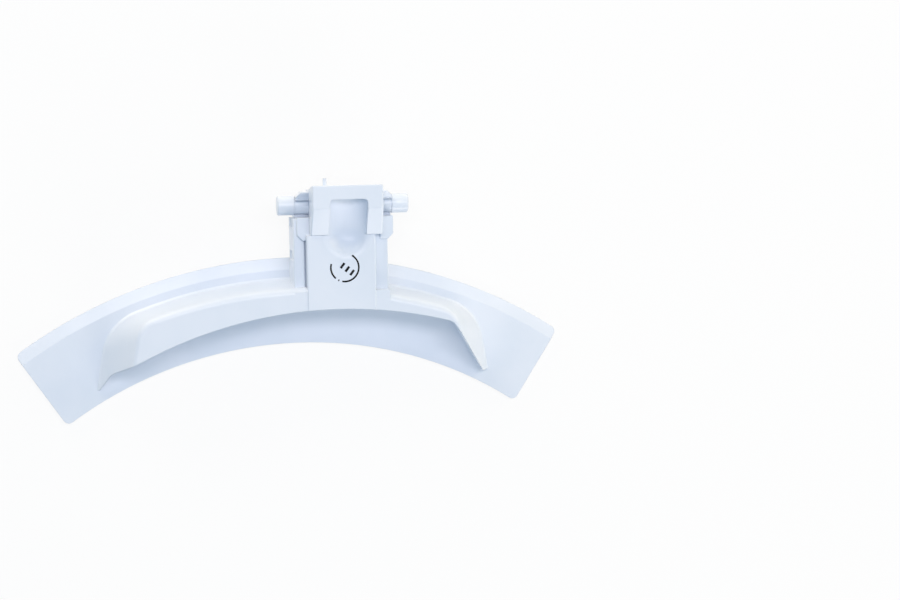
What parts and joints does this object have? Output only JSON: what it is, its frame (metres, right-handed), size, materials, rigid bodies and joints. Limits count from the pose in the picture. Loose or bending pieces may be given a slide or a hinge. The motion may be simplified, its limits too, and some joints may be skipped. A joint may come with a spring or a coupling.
{
  "type": "washing machine door handle",
  "caption": "Curved washing machine door handle: a thin grip sheet with a hooded finger pocket, and a raised stem that ends in a pivot head holding a loose round pin.",
  "frame": {"origin": "under the middle of the whole handle, in the flat front face of the grip sheet", "axes": "+X along the grip, +Y outward past the convex edge towards the pivot head, +Z from the front face towards the machine side"},
  "size_m": [0.1984, 0.0874, 0.0285],
  "materials": {
    "body_plastic": "white moulded plastic with a soft gloss",
    "pin_plastic": "white moulded plastic with a soft gloss"
  },
  "bodies": {
    "handle": {"handle_body": "body_plastic"},
    "pin": {"pivot_pin": "pin_plastic"}
  },
  "joints": [
    {"name": "pin_turn", "type": "hinge", "parent": "handle", "child": "pin", "pos_m": [0.01775, 0.03375, 0.013], "axis": [1, 0, 0], "continuous": true}
  ]
}
